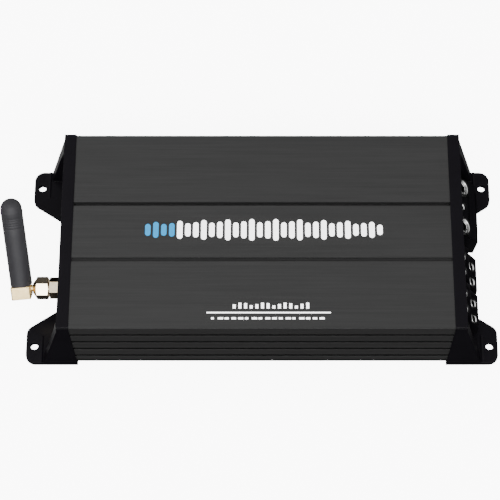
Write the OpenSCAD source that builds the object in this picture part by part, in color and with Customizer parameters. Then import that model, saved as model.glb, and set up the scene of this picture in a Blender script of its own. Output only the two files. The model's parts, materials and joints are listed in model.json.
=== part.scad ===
// Four channel car amplifier with a right-angle radio antenna.
// +X runs from the input end to the output end, +Y to the rear and +Z up.
// The origin is the centre of the four mounting holes, on the mounting surface.

/* [Body] */
// Half length of the finned extrusion
body_x = 115; // [113:0.5:116]
// Half width of the finned extrusion
body_y = 65.3; // [64.8:0.1:65.3]
// Height of the extrusion's flat top
body_top = 49.3; // [49:0.1:49.5]
// Height of the extrusion's lower edge
body_bottom = 4.8; // [4.6:0.1:4.8]
// Radius of the extrusion's long outer edges
edge_r = 0.4; // [0.2:0.1:1.5]
// Depth of the side grooves
groove_d = 2.5; // [1.5:0.25:2.5]
// Height of each side groove
groove_h = 2.2; // [1.6:0.1:2.4]
// Spacing of the side grooves
groove_pitch = 9.2; // [9:0.1:9.3]
// Height of the lowest side groove's lower edge
groove_z = 11.9; // [11.7:0.1:12.1]

/* [End caps] */
// Distance from the centre to a cap's outer wall
cap_x = 119.9; // [119.6:0.1:120]
// Half width over a cap
cap_y = 65.8; // [65.7:0.1:66]
// Height of a cap
cap_top = 49.8; // [49.8:0.1:50.2]
// Thickness of a cap's wall
cap_wall = 3.4; // [3:0.1:3.4]
// Distance from the centre to a cap's rim at the top
rim_x = 112.7; // [112:0.1:113]
// Distance from the centre to a cap's rim at the bottom
rim_foot_x = 110.4; // [109:0.1:112]

/* [Feet] */
// Half distance between the mounting holes, end to end
hole_x = 137; // [136:0.5:138]
// Half distance between the mounting holes, front to rear
hole_y = 54.5; // [54:0.5:55]
// Radius of a mounting hole
hole_r = 2.3; // [2:0.05:2.75]
// Thickness of a foot
foot_t = 3.2; // [2.6:0.1:3.2]
// Distance from the centre to a foot's outer edge
foot_x = 142; // [141.5:0.1:143]
// Radius of a foot's corners
foot_r = 6; // [4:0.5:6]

/* [Antenna] */
// Tilt of the antenna from upright, towards the rear
antenna_tilt = 45; // [-90:1:90]
// Outward lean of the antenna
antenna_lean = 5.6; // [0:0.2:8]
// Length of the antenna from its connector's axis
antenna_len = 56; // [40:1:90]
// Radius of the antenna's sleeve
sleeve_r = 6.5; // [5:0.1:6.5]
// Width of the antenna nut across its flats
nut_af = 11.7; // [10:0.1:12]

/* [Hidden] */
$fn = 64;
// A length past any part's face, for cutting right through
far = 20;
// Radial clearance of a running fit
slip = 0.05;

// Extrusion
side_wall = 5.5;
cavity_y = body_y - side_wall;
cavity_top = 45.2;
groove_count = 4;
rear_groove_y = 17.7;
front_groove_y = -19.8;
top_groove_w = 2.5;
rear_groove_d = 2.8;
front_groove_d = 1.5;
flange_y = 50;
flange_t = 2.4;
plate_t = 1.2;
plate_z = body_bottom + 0.2;
flange_z = plate_z + plate_t;
boss_r = 3.2;
boss_y = 57.2;
boss_z = [11.2, 42.6];
thread_r = 1.4;
clearance_r = 1.7;

// Cap screws and the screws under the body
cap_screw_len = 20;
cap_head_r = 2.8;
cap_head_t = 2;
cap_head_in = 2.2;
bottom_screw_x = [-80, 0, 80];
bottom_screw_y = 54;
bottom_head_r = 2.7;
bottom_head_t = 1.6;
bottom_screw_len = 4;
panel_tab_x = 104.5;
panel_tab_y = 32;

// A fine seam across a cap's top
seam_y = 64.7;
seam_w = 0.6;
seam_d = 0.25;

// Feet
foot_slope = 34.1;
foot_cx = foot_x - foot_r;
foot_far_cy = cap_y - foot_r;
foot_near_cy = 46.5;
gusset_t = 6.5;
gusset_x = 131;
gusset_top = 45.7;
gusset_fillet = 6;
shelf_x = 126;
shelf_y = 32.5;
rib_x = 132.3;
rib_w = 2.4;
rib_h = 0.6;
rib_y = 47.5;

// Input end: a recessed panel behind a window in the cap
window_y = [-15, 51];
window_z = [7, 41];
panel_x = 111;
panel_t = 1.2;
panel_y = 52.2;
panel_top = 42.6;
panel_face = panel_x + panel_t;
rca_y = [30, 44];
rca_z = [15.5, 32.5];
rca_r = 4.15;
rca_bore = 3.6;
rca_end = 120.4;
rca_flange_r = 5.2;
rca_flange_t = 1.4;
pin_r = 1.6;
knob_y = [5, -8];
knob_z = [15.5, 32.5];
knob_r = 4.4;
knob_end = 119.8;
bushing_r = 3.2;
shaft_r = 1.95;
pot_half = 4.8;
pot_depth = 6.5;
socket_y = 18;
socket_z = 15;
socket_w = 9;
socket_h = 12;
socket_pin_y = [-2, 2];
socket_pin_z = [-3.4, 0, 3.4];
socket_pin_r = 0.5;
switch_y = 18;
switch_z = [30.5, 36.5];
switch_travel = 4;
switch_window = [4, 1.4];
lever_w = 2.6;
lever_h = 2;
led_z = 25;
led_r = 1.5;

// Antenna and its connector
sma_y = -26.5;
sma_z = 25;
sma_r = 3.15;
jack_end = 131;
jack_tail = 108;
jack_bore = 2.3;
jack_hex_af = 8.5;
lock_washer_r = 6.5;
lock_washer_t = 0.6;
lock_nut_af = 11;
lock_nut_t = 6.6;
lock_nut_turn = -8;
nut_start = 127.5;
nut_shoulder = 134.9;
nut_end = 136.9;
nut_tip_r = 3.2;
nut_turn = 5;
neck_r = 2;
contact_r = 0.45;
elbow_x = 143.7;
elbow_out = 6.3;
elbow_in = 5.4;
elbow_half = 5.7;
elbow_chamfer = 0.6;
elbow_low = 5.7;
sleeve_start = 2.1;
sleeve_bore = 3.8;
sleeve_grip = 6;

// Output end: terminal blocks that stand out through the cap
block_back = 104;
block_low = 5;
block_high = 38;
power_y = [7.6, 47.4];
power_nose = [131.6, 18.8];
power_top_x = 113.6;
pole_y = [40.8, 14.2];
remote_y = 27.5;
pole_z = 28.5;
power_slope = atan2(block_high - power_nose[1], power_nose[0] - power_top_x);
power_drop = (pole_z - power_nose[1]) / tan(power_slope);
pole_x = power_nose[0] - power_drop;
power_wire_z = 14;
power_wire_r = 4;
power_screw_r = 3;
power_head_r = 5.9;
power_head_t = 2.4;
power_head_z = -0.3;
power_socket = [5, 1.9];
remote_screw_r = 1.5;
remote_head_r = 2.6;
remote_head_t = 1.6;
remote_head_z = -0.4;
remote_reach = 15.4;
remote_socket = [2.8, 1.2];
barrel_end = 126;
barrel_half = 6;
barrel_crown = [121.5, 22.5];
power_reach = 12;
remote_half = 3;

speaker_len = 21.8;
speaker_y = [-23.2, -47.9];
speaker_nose = [130.2, 14];
speaker_step = [124.4, 23.3];
speaker_riser = 28.2;
speaker_top_x = 118.3;
speaker_pitch = 10.16;
speaker_first = 3.97;
speaker_undercut = 0.6;
speaker_slope = atan2(speaker_step[1] - speaker_nose[1], speaker_nose[0] - speaker_step[0]);
low_screw_z = 19;
low_screw_x = speaker_nose[0] - (low_screw_z - speaker_nose[1]) / tan(speaker_slope);
high_screw_z = 33.3;
high_screw_x = speaker_step[0] - (high_screw_z - speaker_riser) / tan(speaker_slope);
speaker_screw_r = 1.5;
speaker_head_r = 3.25;
speaker_head_t = 1.6;
speaker_head_z = -0.1;
speaker_socket = [3.4, 1.2];
low_wire_z = 10;
high_wire_z = 25.75;
wire_w = 3.8;
contact_x = [107, 120];
contact_half = 2.9;
contact_h = 8.2;
low_reach = 10.9;
high_reach = 8.1;

// Where the terminal blocks stand through the bottom plate's end
block_spans = [
    power_y,
    [speaker_y[0], speaker_y[0] + speaker_len],
    [speaker_y[1], speaker_y[1] + speaker_len]
];
block_gap = 0.4;

fuse_y = 3.1;
fuse_z = 23;
fuse_w = 5;
fuse_h = 19;
fuse_x = [108, 118.6];
blade_gap = 7.1;
blade_w = 5.2;
blade_t = 0.65;
blade_tip = 97;
clip_half = 3.1;
clip_y = 0.8;
clip_t = 0.8;
holder_x = [95, 116.2];
holder_w = 8;

// Circuit board and what stands on it
board_x = [-98, 102.5];
board_y = 51;
board_z = 9.6;
board_t = 1.6;
board_top = board_z + board_t;
standoff_x = [-85, 0, 85];
standoff_y = 44;
standoff_r = 3;
standoff_pin_r = 1.85;
board_screw_len = 4;
board_head_r = 2.6;
board_head_t = 1.8;
transistor_x = [-60, -36, -12, 12, 36, 60];
transistor_w = 10;
transistor_t = 4.5;
transistor_z = [15, 31];
pad_t = 0.3;
clamp_x = [-48, 0, 48];
clamp_z = 24.6;
clamp_hole = 4.5;
clamp_t = 2;
clamp_half = 3;
clamp_screw_len = 9.5;
clamp_head_t = 1.8;
bar_half = 68;
toroid_x = 66;
toroid_r = [9, 16];
toroid_h = 12;
turns = 22;
wire_t = 1.4;
inductor_x = -8;
inductor_y = [-14, 0, 14];
inductor_r = 6;
inductor_h = 10;
inductor_bore_r = 2;
large_cap_x = [18, 32, 46];
large_cap_y = [-24, -38, 24, 38];
large_cap_r = 6;
large_cap_h = 25;
small_cap_x = [-56, -46, -36, -26];
small_cap_y = [-40, -30, 30, 40];
small_cap_r = 3.15;
small_cap_h = 11;
module_x = [-94, -66];
module_z = 16;
module_half = 9;
module_t = 1.2;
shield_half = 7;
shield_h = 2.4;

rubber_black = [0.06, 0.06, 0.065];
cap_black = [0.1, 0.095, 0.1];
body_grey = [0.26, 0.26, 0.26];
steel = [0.72, 0.72, 0.74];
brass = [0.85, 0.72, 0.42];
gold = [0.88, 0.8, 0.6];

// A flat outline drawn as (Y, Z) and pulled along X
module along_x(x0, x1) {
    translate([x0, 0, 0]) rotate([90, 0, 90]) linear_extrude(x1 - x0) children();
}

// A flat outline drawn as (X, Z) and pulled along Y
module along_y(y0, y1) {
    translate([0, y1, 0]) rotate([90, 0, 0]) linear_extrude(y1 - y0) children();
}

// A block between two corners
module block(low, high) {
    translate(low) cube(high - low);
}

// A round rod along X
module rod_x(x0, x1, y, z, r) {
    translate([x0, y, z]) rotate([0, 90, 0]) cylinder(r = r, h = x1 - x0);
}

// A hexagonal bar along X
module hex_x(x0, x1, y, z, af, turn) {
    translate([x0, y, z]) rotate([turn, 0, 0]) rotate([0, 90, 0])
        cylinder(d = af / cos(30), h = x1 - x0, $fn = 6);
}

// A rod along Y that starts at a side wall and runs outwards; side is -1 or 1
module rod_out(x, y, z, side, r, h) {
    translate([x, side * y, z]) rotate([-side * 90, 0, 0]) cylinder(r = r, h = h);
}

// A copy on each side of the centre, front and rear
module front_and_rear() {
    children();
    mirror([0, 1, 0]) children();
}

// Everything at the input end is drawn at the output end and mirrored
module input_side() {
    mirror([1, 0, 0]) children();
}

// ---- casing ----

module side_grooves() {
    for (i = [0 : groove_count - 1])
        translate([body_y - groove_d, groove_z + i * groove_pitch]) square([far, groove_h]);
}

module housing_profile() {
    difference() {
        union() {
            difference() {
                offset(r = edge_r) offset(delta = -edge_r)
                    translate([-body_y, body_bottom]) square([2 * body_y, body_top - body_bottom]);
                translate([-cavity_y, body_bottom - 1])
                    square([2 * cavity_y, cavity_top - body_bottom + 1]);
            }
            for (s = [-1, 1]) {
                translate([s * (flange_y + cavity_y + 1) / 2, flange_z + flange_t / 2])
                    square([cavity_y - flange_y + 1, flange_t], center = true);
                for (z = boss_z) translate([s * boss_y, z]) circle(r = boss_r);
            }
        }
        side_grooves();
        mirror([1, 0]) side_grooves();
        translate([rear_groove_y - top_groove_w / 2, body_top - rear_groove_d])
            square([top_groove_w, far]);
        translate([front_groove_y - top_groove_w / 2, body_top - front_groove_d])
            square([top_groove_w, far]);
    }
}

module heatsink_housing() {
    color(body_grey) difference() {
        along_x(-body_x, body_x) housing_profile();
        for (s = [-1, 1], z = boss_z) {
            rod_x(-body_x - 1, -body_x + cap_screw_len, s * boss_y, z, thread_r);
            rod_x(body_x - cap_screw_len, body_x + 1, s * boss_y, z, thread_r);
        }
        for (s = [-1, 1], x = bottom_screw_x)
            translate([x, s * bottom_screw_y, flange_z - 1]) cylinder(r = thread_r, h = flange_t + 2);
        for (s = [-1, 1], x = clamp_x) rod_out(x, cavity_y - 1, clamp_z, s, thread_r, clamp_hole);
    }
}

module bottom_plate() {
    color(steel) difference() {
        block([-body_x + 0.4, -cavity_y + 0.3, plate_z], [body_x - 0.4, cavity_y - 0.3, flange_z]);
        for (s = [-1, 1], x = bottom_screw_x)
            translate([x, s * bottom_screw_y, 0]) cylinder(r = clearance_r, h = far);
        for (s = [-1, 1])
            translate([-panel_tab_x, s * panel_tab_y, 0]) cylinder(r = clearance_r, h = far);
        for (s = [-1, 1], x = standoff_x)
            translate([x, s * standoff_y, 0]) cylinder(r = standoff_pin_r + slip, h = far);
        for (span = block_spans)
            block([block_back - block_gap, span[0] - block_gap, 0], [body_x, span[1] + block_gap, far]);
    }
}

module foot_outline() {
    near_t = [foot_cx + foot_r * sin(foot_slope), foot_near_cy - foot_r * cos(foot_slope)];
    wall_in = cap_x - 1;
    polygon([
        [wall_in, cap_y], [foot_cx, cap_y], [foot_x, foot_far_cy], [foot_x, foot_near_cy],
        near_t, [wall_in, near_t[1] - (near_t[0] - wall_in) * tan(foot_slope)]
    ]);
    translate([foot_cx, foot_far_cy]) circle(r = foot_r);
    translate([foot_cx, foot_near_cy]) circle(r = foot_r);
}

module foot() {
    difference() {
        linear_extrude(foot_t) foot_outline();
        translate([hole_x, hole_y, -1]) cylinder(r = hole_r, h = far);
    }
    rib_low = foot_t - 0.1;
    along_y(rib_y, cap_y)
        polygon([[rib_x - rib_w / 2, rib_low], [rib_x + rib_w / 2, rib_low], [rib_x, foot_t + rib_h]]);
}

module gusset_side() {
    polygon([
        [cap_x - 1, 0], [gusset_x, 0], [gusset_x, foot_t],
        [cap_x, gusset_top], [cap_x - 1, gusset_top]
    ]);
}

// A thick web between a foot and the cap's wall, with a round inner corner
module gusset() {
    inner_y = cap_y - gusset_t;
    along_y(inner_y, cap_y) gusset_side();
    intersection() {
        along_y(inner_y - gusset_fillet, cap_y - 1) gusset_side();
        linear_extrude(cap_top) difference() {
            translate([cap_x - 1, inner_y - gusset_fillet])
                square([gusset_fillet + 1, gusset_fillet + 1]);
            translate([cap_x + gusset_fillet, inner_y - gusset_fillet]) circle(r = gusset_fillet);
        }
    }
}

// The shell that both caps share, open towards the body
module cap_shell() {
    difference() {
        union() {
            difference() {
                along_y(-cap_y, cap_y)
                    polygon([[rim_foot_x, 0], [cap_x, 0], [cap_x, cap_top], [rim_x, cap_top]]);
                block([rim_foot_x - 2, -body_y - 0.1, body_bottom - 0.1],
                      [cap_x - cap_wall, body_y + 0.1, body_top + 0.1]);
            }
            for (s = [-1, 1], z = boss_z) rod_x(body_x, cap_x - 1, s * boss_y, z, boss_r);
            front_and_rear() {
                foot();
                gusset();
            }
        }
        for (s = [-1, 1], z = boss_z) {
            rod_x(body_x - 1, cap_x + 1, s * boss_y, z, clearance_r);
            rod_x(cap_x - cap_head_in, cap_x + 1, s * boss_y, z, cap_head_r + 0.3);
        }
        front_and_rear()
            block([rim_x - 1, seam_y, cap_top - seam_d], [cap_x + 1, seam_y + seam_w, cap_top + 1]);
    }
}

module input_end_cap() {
    color(cap_black) input_side() difference() {
        cap_shell();
        block([body_x - 1, window_y[0], window_z[0]], [cap_x + 1, window_y[1], window_z[1]]);
        rod_x(body_x - 1, cap_x + 1, sma_y, sma_z, sma_r + 0.1);
    }
}

module block_opening(y0, y1, z0, z1) {
    block([body_x - 1, y0 - block_gap, z0 - block_gap], [cap_x + 1, y1 + block_gap, z1 + block_gap]);
}

module output_end_cap() {
    color(cap_black) difference() {
        union() {
            cap_shell();
            block([cap_x - 1, -shelf_y, 0], [shelf_x, shelf_y, foot_t]);
        }
        block_opening(power_y[0], power_y[1], block_low, block_high);
        for (y = speaker_y) block_opening(y, y + speaker_len, block_low, block_high);
        block_opening(fuse_y - fuse_w / 2, fuse_y + fuse_w / 2,
                      fuse_z - fuse_h / 2, fuse_z + fuse_h / 2);
    }
}

module cross_recess(r) {
    for (a = [0, 90])
        rotate([0, 0, a]) block([-0.6 * r, -0.14 * r, -1], [0.6 * r, 0.14 * r, 1]);
}

// A screw that points down, with its head's underside at the origin
module screw(shank_r, shank_len, head_r, head_t) {
    difference() {
        union() {
            cylinder(r = head_r, h = head_t);
            translate([0, 0, -shank_len]) cylinder(r = shank_r, h = shank_len + 0.1);
        }
        translate([0, 0, head_t]) cross_recess(head_r);
    }
}

// A clamp screw with a hexagonal socket of [width, depth]; its head's top is at the height top
module socket_screw(shank_r, reach, head_r, head_t, top, socket) {
    difference() {
        union() {
            translate([0, 0, top - head_t]) cylinder(r = head_r, h = head_t);
            translate([0, 0, -reach]) cylinder(r = shank_r, h = reach + top - head_t + 0.1);
        }
        translate([0, 0, top - socket[1]]) cylinder(d = socket[0] / cos(30), h = far, $fn = 6);
    }
}

module end_cap_screws() {
    color(steel) for (end = [0, 1], s = [-1, 1], z = boss_z)
        mirror([end, 0, 0]) translate([cap_x - cap_head_in, s * boss_y, z]) rotate([0, 90, 0])
            screw(thread_r - slip, cap_screw_len - 1, cap_head_r, cap_head_t);
}

module bottom_screws() {
    color(steel) {
        for (s = [-1, 1], x = bottom_screw_x)
            translate([x, s * bottom_screw_y, plate_z]) rotate([180, 0, 0])
                screw(thread_r - slip, bottom_screw_len, bottom_head_r, bottom_head_t);
        for (s = [-1, 1])
            translate([-panel_tab_x, s * panel_tab_y, plate_z]) rotate([180, 0, 0])
                screw(thread_r - slip, plate_t + panel_t, bottom_head_r, bottom_head_t);
    }
}

// ---- input end ----

module input_panel() {
    color(cap_black) input_side() difference() {
        union() {
            block([panel_x, -panel_y, flange_z], [panel_face, panel_y, panel_top]);
            block([panel_tab_x - 5, -panel_y + 4, flange_z],
                  [panel_face, panel_y - 4, flange_z + panel_t]);
        }
        for (s = [-1, 1])
            block([panel_x - far, min(s * (flange_y - 0.3), s * far * 4), 0],
                  [panel_face + 1, max(s * (flange_y - 0.3), s * far * 4), flange_z + flange_t + 0.2]);
        for (s = [-1, 1]) translate([panel_tab_x, s * panel_tab_y, 0]) cylinder(r = thread_r, h = far / 2);
        for (y = rca_y, z = rca_z) rod_x(panel_x - 1, panel_face + 1, y, z, rca_r);
        for (y = knob_y, z = knob_z) rod_x(panel_x - 1, panel_face + 1, y, z, bushing_r);
        block([panel_x - 1, socket_y - socket_w / 2, socket_z - socket_h / 2],
              [panel_face + 1, socket_y + socket_w / 2, socket_z + socket_h / 2]);
        for (z = switch_z)
            block([panel_x - 1, switch_y - switch_window[0], z - switch_window[1]],
                  [panel_face + 1, switch_y + switch_window[0], z + switch_window[1]]);
        rod_x(panel_x - 1, panel_face + 1, switch_y, led_z, led_r);
        rod_x(panel_x - 1, panel_face + 1, sma_y, sma_z, 6);
    }
}

module rca_insulators() {
    color("white") input_side() for (y = rca_y, z = rca_z) difference() {
        union() {
            block([panel_x - 11, y - 5.5, z - 5.5], [panel_x, y + 5.5, z + 5]);
            rod_x(panel_x - 1, panel_face, y, z, rca_r - slip);
            rod_x(panel_face, rca_end - 1.4, y, z, rca_bore - slip);
        }
        rod_x(panel_x - 8, rca_end + 1, y, z, pin_r);
    }
}

module rca_shells() {
    color(gold) input_side() for (y = rca_y, z = rca_z) difference() {
        union() {
            rod_x(panel_face, panel_face + rca_flange_t, y, z, rca_flange_r);
            rod_x(panel_face, rca_end, y, z, rca_r);
        }
        rod_x(panel_x - 1, rca_end + 1, y, z, rca_bore);
    }
}

module rca_contacts() {
    color(gold) input_side() for (y = rca_y, z = rca_z) difference() {
        rod_x(panel_x - 8, rca_end - 1.6, y, z, pin_r);
        rod_x(panel_x, rca_end, y, z, pin_r - 0.5);
    }
}

module high_level_socket() {
    color("ivory") input_side() difference() {
        block([panel_x - 9, socket_y - socket_w / 2, socket_z - socket_h / 2],
              [panel_x + 6, socket_y + socket_w / 2, socket_z + socket_h / 2]);
        block([panel_x - 4, socket_y - socket_w / 2 + 1, socket_z - socket_h / 2 + 1],
              [panel_x + 7, socket_y + socket_w / 2 - 1, socket_z + socket_h / 2 - 1]);
        for (y = socket_pin_y, z = socket_pin_z)
            rod_x(panel_x - 8, panel_x, socket_y + y, socket_z + z, socket_pin_r);
    }
}

module high_level_pins() {
    color(gold) input_side() for (y = socket_pin_y, z = socket_pin_z)
        rod_x(panel_x - 8, panel_x, socket_y + y, socket_z + z, socket_pin_r);
}

module potentiometers() {
    color("dimgray") input_side() for (y = knob_y, z = knob_z) difference() {
        union() {
            block([panel_x - pot_depth, y - pot_half, z - pot_half],
                  [panel_x, y + pot_half, z + pot_half]);
            rod_x(panel_x - 1, panel_face + 1, y, z, bushing_r - slip);
        }
        rod_x(panel_x - 4.5, panel_face + 2, y, z, shaft_r + slip);
    }
}

// A fluted control knob with a pointer slot, on its own shaft
module knob(y, z) {
    flutes = 16;
    face = panel_face + 1.4;
    color(rubber_black) input_side() difference() {
        union() {
            rod_x(panel_x - 4, face + 1, y, z, shaft_r);
            rod_x(face, knob_end, y, z, knob_r);
        }
        for (i = [0 : flutes - 1])
            rod_x(face + 1.2, knob_end + 1, y + (knob_r + 0.35) * cos(i * 360 / flutes),
                  z + (knob_r + 0.35) * sin(i * 360 / flutes), 0.6);
        block([knob_end - 0.8, y - 0.5, z], [knob_end + 1, y + 0.5, z + knob_r + 1]);
    }
}

module front_gain_knob() { knob(knob_y[0], knob_z[1]); }
module rear_gain_knob() { knob(knob_y[1], knob_z[1]); }
module crossover_knob() { knob(knob_y[0], knob_z[0]); }
module bass_knob() { knob(knob_y[1], knob_z[0]); }

module slide_switch_bodies() {
    color("silver") input_side() for (z = switch_z) difference() {
        block([panel_x - 5.5, switch_y - 6, z - 2.8], [panel_x, switch_y + 6, z + 2.8]);
        block([panel_x - 3.5, switch_y - switch_window[0], z - switch_window[1]],
              [panel_x + 1, switch_y + switch_window[0], z + switch_window[1]]);
    }
}

module switch_lever(z) {
    y = switch_y - switch_travel / 2;
    color(rubber_black) input_side() difference() {
        block([panel_x - 3.1, y - lever_w / 2, z - lever_h / 2],
              [panel_face + 3.4, y + lever_w / 2, z + lever_h / 2]);
        for (i = [-1, 0, 1])
            block([panel_face + 3, y + i * 0.8 - 0.15, z - 2],
                  [panel_face + 5, y + i * 0.8 + 0.15, z + 2]);
    }
}

module mode_switch_lever() { switch_lever(switch_z[1]); }
module input_switch_lever() { switch_lever(switch_z[0]); }

module status_led() {
    color("deepskyblue") input_side() {
        rod_x(panel_x - 5, panel_face + 0.6, switch_y, led_z, led_r - 0.03);
        translate([panel_face + 0.6, switch_y, led_z]) sphere(r = led_r - 0.03);
    }
}

// ---- antenna ----

module sma_jack() {
    wall = cap_x - cap_wall;
    color(gold) input_side() difference() {
        union() {
            rod_x(jack_tail, jack_end, sma_y, sma_z, sma_r);
            hex_x(wall - 2.2, wall, sma_y, sma_z, jack_hex_af, 0);
        }
        rod_x(jack_end - 8, jack_end + 1, sma_y, sma_z, jack_bore);
        rod_x(jack_tail - 1, jack_tail + 4, sma_y, sma_z, 1.3);
    }
}

module sma_lock_nut() {
    color(gold) input_side() difference() {
        union() {
            rod_x(cap_x, cap_x + lock_washer_t, sma_y, sma_z, lock_washer_r);
            hex_x(cap_x + lock_washer_t, cap_x + lock_washer_t + lock_nut_t,
                  sma_y, sma_z, lock_nut_af, lock_nut_turn);
        }
        rod_x(cap_x - 1, cap_x + far, sma_y, sma_z, sma_r + slip);
    }
}

module antenna_nut() {
    color(gold) input_side() difference() {
        union() {
            hex_x(nut_start, nut_shoulder, sma_y, sma_z, nut_af, nut_turn);
            translate([nut_shoulder - 0.1, sma_y, sma_z]) rotate([0, 90, 0])
                cylinder(r1 = nut_af / 2 - 0.2, r2 = nut_tip_r, h = nut_end - nut_shoulder + 0.1);
        }
        rod_x(nut_start - 1, nut_shoulder - 0.6, sma_y, sma_z, sma_r + slip);
        rod_x(nut_start, nut_end + 1, sma_y, sma_z, neck_r + slip);
    }
}

// The antenna's own frame: its axis is the local Z, from the connector's axis
module on_antenna() {
    translate([-elbow_x, sma_y, sma_z])
        rotate([-antenna_tilt, 0, 0]) rotate([0, -antenna_lean, 0]) children();
}

// A square block with its corners cut, flush with the sleeve on its outer side
module elbow_outline() {
    c = elbow_chamfer;
    polygon([
        [-elbow_out + c, -elbow_half], [elbow_in - c, -elbow_half],
        [elbow_in, -elbow_half + c], [elbow_in, elbow_half - c],
        [elbow_in - c, elbow_half], [-elbow_out + c, elbow_half],
        [-elbow_out, elbow_half - c], [-elbow_out, -elbow_half + c]
    ]);
}

module antenna_elbow() {
    color(brass) {
        on_antenna() translate([0, 0, -elbow_low])
            linear_extrude(elbow_low + sleeve_start) elbow_outline();
        on_antenna() cylinder(r = sleeve_bore, h = sleeve_start + sleeve_grip);
        input_side() rod_x(jack_end + 0.6, elbow_x, sma_y, sma_z, neck_r);
        input_side() rod_x(jack_end - 6, elbow_x, sma_y, sma_z, contact_r);
    }
}

module antenna_sleeve() {
    color(rubber_black) difference() {
        on_antenna() {
            translate([0, 0, sleeve_start])
                cylinder(r = sleeve_r, h = antenna_len - sleeve_r - sleeve_start);
            translate([0, 0, antenna_len - sleeve_r]) sphere(r = sleeve_r);
        }
        on_antenna() cylinder(r = sleeve_bore, h = sleeve_start + sleeve_grip);
    }
}

// ---- output end ----

// A clamp screw that stands on a sloping terminal face
module on_slope(x, y, z, slope) {
    translate([x, y, z]) rotate([0, slope, 0]) children();
}

module power_terminal_block() {
    color(rubber_black) difference() {
        along_y(power_y[0], power_y[1])
            polygon([[block_back, block_low], [power_nose[0] - 2, block_low], power_nose,
                     [power_top_x, block_high], [block_back, block_high]]);
        for (y = pole_y) {
            on_slope(pole_x, y, pole_z, power_slope) {
                translate([0, 0, -power_head_t - 0.4]) cylinder(r = power_head_r + 0.4, h = far);
                translate([0, 0, -13]) cylinder(r = power_screw_r + 0.4, h = far);
            }
            barrel_body(block_back - 1, y);
            rod_x(barrel_end - 1, power_nose[0] + 1, y, power_wire_z, power_wire_r + 0.3);
        }
        on_slope(pole_x, remote_y, pole_z, power_slope) {
            translate([0, 0, -2.2]) cylinder(r = remote_head_r + 0.3, h = far);
            translate([0, 0, -18]) cylinder(r = remote_screw_r + 0.3, h = far);
        }
        block([block_back - 1, remote_y - remote_half, power_wire_z - remote_half - 1],
              [barrel_end - 2, remote_y + remote_half, power_wire_z + remote_half + 1]);
        block([barrel_end - 3, remote_y - wire_w / 2, power_wire_z - wire_w / 2],
              [power_nose[0] + 1, remote_y + wire_w / 2, power_wire_z + wire_w / 2]);
    }
}

// The metal round a supply wire, with a crown for the clamp screw's thread
module barrel_body(back, y) {
    block([back, y - barrel_half, power_wire_z - barrel_half],
          [barrel_end, y + barrel_half, power_wire_z + barrel_half]);
    block([back, y - barrel_half, power_wire_z], [barrel_crown[0], y + barrel_half, barrel_crown[1]]);
}

module power_barrels() {
    color(brass) for (y = pole_y) difference() {
        union() {
            barrel_body(block_back, y);
            block([block_back - 8, y - 3, board_top], [block_back + 1, y + 3, board_top + 1.6]);
        }
        rod_x(block_back + 2, barrel_end + 1, y, power_wire_z, power_wire_r);
        on_slope(pole_x, y, pole_z, power_slope)
            translate([0, 0, -17]) cylinder(r = power_screw_r + slip, h = far);
    }
}

module remote_barrel() {
    color(brass) difference() {
        union() {
            block([block_back, remote_y - remote_half, power_wire_z - remote_half - 1],
                  [barrel_end - 2, remote_y + remote_half, power_wire_z + remote_half + 1]);
            block([block_back - 6, remote_y - 1, board_top], [block_back + 1, remote_y + 1, board_top + 1]);
        }
        block([block_back + 2, remote_y - wire_w / 2, power_wire_z - wire_w / 2],
              [barrel_end, remote_y + wire_w / 2, power_wire_z + wire_w / 2]);
        on_slope(pole_x, remote_y, pole_z, power_slope)
            translate([0, 0, -17]) cylinder(r = remote_screw_r + slip, h = far);
    }
}

module power_clamp_screw(y) {
    color(steel) on_slope(pole_x, y, pole_z, power_slope)
        socket_screw(power_screw_r, power_reach, power_head_r, power_head_t, power_head_z, power_socket);
}

module battery_clamp_screw() { power_clamp_screw(pole_y[0]); }
module ground_clamp_screw() { power_clamp_screw(pole_y[1]); }

module remote_clamp_screw() {
    color(steel) on_slope(pole_x, remote_y, pole_z, power_slope)
        socket_screw(remote_screw_r, remote_reach, remote_head_r, remote_head_t,
                     remote_head_z, remote_socket);
}

// Terminal n of a speaker block: two columns, each with a low and a high screw
function terminal_y(start, column) = start + speaker_first + column * speaker_pitch;

module speaker_block(start) {
    color(rubber_black) difference() {
        along_y(start, start + speaker_len)
            polygon([
                [block_back, block_low], [speaker_nose[0] - speaker_undercut, block_low],
                speaker_nose, speaker_step, [speaker_step[0], speaker_riser],
                [speaker_top_x, block_high], [block_back, block_high]
            ]);
        for (c = [0, 1]) {
            speaker_pocket(low_screw_x, terminal_y(start, c), low_screw_z, low_wire_z);
            speaker_pocket(high_screw_x, terminal_y(start, c), high_screw_z, high_wire_z);
        }
    }
}

// The room for one clamp screw, its contact and the wire
module speaker_pocket(x, y, z, wire_z) {
    on_slope(x, y, z, speaker_slope) {
        translate([0, 0, -speaker_head_t - 0.3]) cylinder(r = speaker_head_r + 0.3, h = 6);
        translate([0, 0, -14]) cylinder(r = speaker_screw_r + 0.3, h = 14);
    }
    block([block_back - 1, y - contact_half, wire_z - contact_h / 2],
          [contact_x[1], y + contact_half, wire_z + contact_h / 2]);
    block([contact_x[1] - 1, y - wire_w / 2, wire_z - wire_w / 2],
          [speaker_nose[0] + 1, y + wire_w / 2, wire_z + wire_w / 2]);
}

module speaker_block_rear() { speaker_block(speaker_y[0]); }
module speaker_block_front() { speaker_block(speaker_y[1]); }

module speaker_contact(x, y, z, wire_z) {
    difference() {
        block([contact_x[0], y - contact_half, wire_z - contact_h / 2],
              [contact_x[1], y + contact_half, wire_z + contact_h / 2]);
        block([contact_x[0] + 1.5, y - wire_w / 2, wire_z - wire_w / 2],
              [contact_x[1] + 1, y + wire_w / 2, wire_z + wire_w / 2]);
        on_slope(x, y, z, speaker_slope)
            translate([0, 0, -14]) cylinder(r = speaker_screw_r + slip, h = 14);
    }
}

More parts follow.
